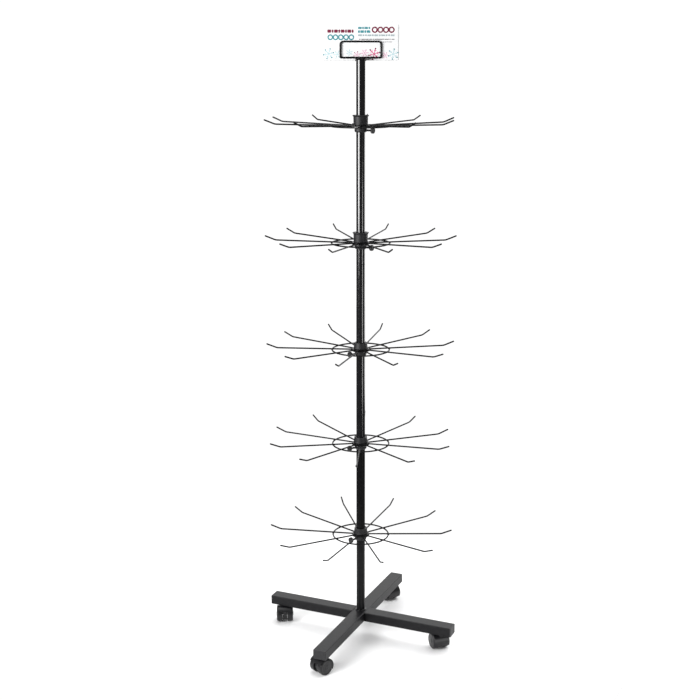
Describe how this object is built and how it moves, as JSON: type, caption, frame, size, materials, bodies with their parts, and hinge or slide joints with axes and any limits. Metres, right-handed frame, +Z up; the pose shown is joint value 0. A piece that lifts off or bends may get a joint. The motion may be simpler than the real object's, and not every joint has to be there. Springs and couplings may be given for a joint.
{
  "type": "rotating display rack",
  "caption": "Free-standing spinner rack: round pole on a cross base with swivel casters, tiers of radial wire hooks that turn and slide, and a sign holder on top.",
  "frame": {"origin": "on the floor under the pole's axis", "axes": "+Z up the pole; the legs lie along X and Y; the sign faces -Y turned 23 degrees towards +X"},
  "size_m": [0.5894, 0.5984, 1.8045],
  "materials": {
    "black_powder_coat": "glossy black powder coat",
    "black_plastic": "fine textured black moulding",
    "black_nylon": "satin black nylon",
    "zinc": "zinc plated",
    "card_stock": "matte white printed card"
  },
  "bodies": {
    "base": {"leg_left_right": "black_powder_coat", "leg_front_back": "black_powder_coat", "end_cap_right": "black_plastic", "end_cap_back": "black_plastic", "end_cap_left": "black_plastic", "end_cap_front": "black_plastic", "pole_socket": "black_powder_coat", "base_washer": "zinc", "base_bolt": "zinc", "pole_lower_tube": "black_powder_coat", "pole_middle_tube": "black_powder_coat", "pole_upper_tube": "black_powder_coat", "caster_right_stem": "zinc", "caster_back_stem": "zinc", "caster_left_stem": "zinc", "caster_front_stem": "zinc"},
    "tier1_collar": {"tier1_clamp_collar": "black_plastic"},
    "tier1_wheel": {"tier1_hook_wheel": "black_powder_coat", "tier1_hub_bush": "black_plastic", "tier1_hub_cap": "black_plastic"},
    "tier1_screw": {"tier1_thumb_screw": "black_plastic"},
    "tier2_collar": {"tier2_clamp_collar": "black_plastic"},
    "tier2_wheel": {"tier2_hook_wheel": "black_powder_coat", "tier2_hub_bush": "black_plastic", "tier2_hub_cap": "black_plastic"},
    "tier2_screw": {"tier2_thumb_screw": "black_plastic"},
    "tier3_collar": {"tier3_clamp_collar": "black_plastic"},
    "tier3_wheel": {"tier3_hook_wheel": "black_powder_coat", "tier3_hub_bush": "black_plastic", "tier3_hub_cap": "black_plastic"},
    "tier3_screw": {"tier3_thumb_screw": "black_plastic"},
    "tier4_collar": {"tier4_clamp_collar": "black_plastic"},
    "tier4_wheel": {"tier4_hook_wheel": "black_powder_coat", "tier4_hub_bush": "black_plastic", "tier4_hub_cap": "black_plastic"},
    "tier4_screw": {"tier4_thumb_screw": "black_plastic"},
    "tier5_collar": {"tier5_clamp_collar": "black_plastic"},
    "tier5_wheel": {"tier5_hook_wheel": "black_powder_coat", "tier5_hub_bush": "black_plastic", "tier5_hub_cap": "black_plastic"},
    "tier5_screw": {"tier5_thumb_screw": "black_plastic"},
    "sign_holder": {"sign_holder": "black_powder_coat"},
    "sign_card": {"sign_card": "card_stock"},
    "caster_right": {"caster_right_hood": "black_plastic", "caster_right_axle": "zinc"},
    "caster_right_wheel_a": {"caster_right_wheel_a": "black_nylon"},
    "caster_right_wheel_b": {"caster_right_wheel_b": "black_nylon"},
    "caster_back": {"caster_back_hood": "black_plastic", "caster_back_axle": "zinc"},
    "caster_back_wheel_a": {"caster_back_wheel_a": "black_nylon"},
    "caster_back_wheel_b": {"caster_back_wheel_b": "black_nylon"},
    "caster_left": {"caster_left_hood": "black_plastic", "caster_left_axle": "zinc"},
    "caster_left_wheel_a": {"caster_left_wheel_a": "black_nylon"},
    "caster_left_wheel_b": {"caster_left_wheel_b": "black_nylon"},
    "caster_front": {"caster_front_hood": "black_plastic", "caster_front_axle": "zinc"},
    "caster_front_wheel_a": {"caster_front_wheel_a": "black_nylon"},
    "caster_front_wheel_b": {"caster_front_wheel_b": "black_nylon"}
  },
  "joints": [
    {"name": "tier1_height", "type": "slide", "parent": "base", "child": "tier1_collar", "axis": [0, 0, 1], "range_m": [-0.1, 0.1]},
    {"name": "tier1_turn", "type": "hinge", "parent": "tier1_collar", "child": "tier1_wheel", "pos_m": [0, 0, 1.5239], "axis": [0, 0, 1], "continuous": true},
    {"name": "tier1_screw_turn", "type": "hinge", "parent": "tier1_collar", "child": "tier1_screw", "pos_m": [0.03495, -0.00183, 1.5121], "axis": [0.9986, -0.0523, 0], "range_deg": [0, 1080]},
    {"name": "tier2_height", "type": "slide", "parent": "base", "child": "tier2_collar", "axis": [0, 0, 1], "range_m": [-0.1, 0.1]},
    {"name": "tier2_turn", "type": "hinge", "parent": "tier2_collar", "child": "tier2_wheel", "pos_m": [0, 0, 1.1987], "axis": [0, 0, 1], "continuous": true},
    {"name": "tier2_screw_turn", "type": "hinge", "parent": "tier2_collar", "child": "tier2_screw", "pos_m": [0.03436, -0.00668, 1.1869], "axis": [0.9816, -0.1908, 0], "range_deg": [0, 1080]},
    {"name": "tier3_height", "type": "slide", "parent": "base", "child": "tier3_collar", "axis": [0, 0, 1], "range_m": [-0.1, 0.1]},
    {"name": "tier3_turn", "type": "hinge", "parent": "tier3_collar", "child": "tier3_wheel", "pos_m": [0, 0, 0.8897], "axis": [0, 0, 1], "continuous": true},
    {"name": "tier3_screw_turn", "type": "hinge", "parent": "tier3_collar", "child": "tier3_screw", "pos_m": [-0.01906, -0.02935, 0.8779], "axis": [-0.5446, -0.8387, 0], "range_deg": [0, 1080]},
    {"name": "tier4_height", "type": "slide", "parent": "base", "child": "tier4_collar", "axis": [0, 0, 1], "range_m": [-0.1, 0.1]},
    {"name": "tier4_turn", "type": "hinge", "parent": "tier4_collar", "child": "tier4_wheel", "pos_m": [0, 0, 0.6068], "axis": [0, 0, 1], "continuous": true},
    {"name": "tier4_screw_turn", "type": "hinge", "parent": "tier4_collar", "child": "tier4_screw", "pos_m": [-0.02155, -0.02758, 0.595], "axis": [-0.6157, -0.788, 0], "range_deg": [0, 1080]},
    {"name": "tier5_height", "type": "slide", "parent": "base", "child": "tier5_collar", "axis": [0, 0, 1], "range_m": [-0.1, 0.1]},
    {"name": "tier5_turn", "type": "hinge", "parent": "tier5_collar", "child": "tier5_wheel", "pos_m": [0, 0, 0.3231], "axis": [0, 0, 1], "continuous": true},
    {"name": "tier5_screw_turn", "type": "hinge", "parent": "tier5_collar", "child": "tier5_screw", "pos_m": [-0.01643, -0.0309, 0.3113], "axis": [-0.4695, -0.8829, 0], "range_deg": [0, 1080]},
    {"name": "sign_turn", "type": "hinge", "parent": "base", "child": "sign_holder", "pos_m": [0, 0, 1.7015], "axis": [0, 0, 1], "range_deg": [-180, 180]},
    {"name": "card_lift", "type": "slide", "parent": "sign_holder", "child": "sign_card", "axis": [0, 0, 1], "range_m": [0, 0.08]},
    {"name": "caster_right_swivel", "type": "hinge", "parent": "base", "child": "caster_right", "pos_m": [0.258, 0, 0.05], "axis": [0, 0, 1], "continuous": true},
    {"name": "caster_right_wheel_a_roll", "type": "hinge", "parent": "caster_right", "child": "caster_right_wheel_a", "pos_m": [0.24827, 0.01007, 0.0235], "axis": [0.7193, 0.6947, 0], "continuous": true},
    {"name": "caster_right_wheel_b_roll", "type": "hinge", "parent": "caster_right", "child": "caster_right_wheel_b", "pos_m": [0.24827, 0.01007, 0.0235], "axis": [0.7193, 0.6947, 0], "continuous": true},
    {"name": "caster_back_swivel", "type": "hinge", "parent": "base", "child": "caster_back", "pos_m": [0, 0.258, 0.05], "axis": [0, 0, 1], "continuous": true},
    {"name": "caster_back_wheel_a_roll", "type": "hinge", "parent": "caster_back", "child": "caster_back_wheel_a", "pos_m": [-0.01236, 0.26457, 0.0235], "axis": [0.4695, 0.8829, 0], "continuous": true},
    {"name": "caster_back_wheel_b_roll", "type": "hinge", "parent": "caster_back", "child": "caster_back_wheel_b", "pos_m": [-0.01236, 0.26457, 0.0235], "axis": [0.4695, 0.8829, 0], "continuous": true},
    {"name": "caster_left_swivel", "type": "hinge", "parent": "base", "child": "caster_left", "pos_m": [-0.258, 0, 0.05], "axis": [0, 0, 1], "continuous": true},
    {"name": "caster_left_wheel_a_roll", "type": "hinge", "parent": "caster_left", "child": "caster_left_wheel_a", "pos_m": [-0.25164, -0.01247, 0.0235], "axis": [-0.891, -0.454, 0], "continuous": true},
    {"name": "caster_left_wheel_b_roll", "type": "hinge", "parent": "caster_left", "child": "caster_left_wheel_b", "pos_m": [-0.25164, -0.01247, 0.0235], "axis": [-0.891, -0.454, 0], "continuous": true},
    {"name": "caster_front_swivel", "type": "hinge", "parent": "base", "child": "caster_front", "pos_m": [0, -0.258, 0.05], "axis": [0, 0, 1], "continuous": true},
    {"name": "caster_front_wheel_a_roll", "type": "hinge", "parent": "caster_front", "child": "caster_front_wheel_a", "pos_m": [-0.00569, -0.27079, 0.0235], "axis": [-0.9135, 0.4067, 0], "continuous": true},
    {"name": "caster_front_wheel_b_roll", "type": "hinge", "parent": "caster_front", "child": "caster_front_wheel_b", "pos_m": [-0.00569, -0.27079, 0.0235], "axis": [-0.9135, 0.4067, 0], "continuous": true}
  ]
}
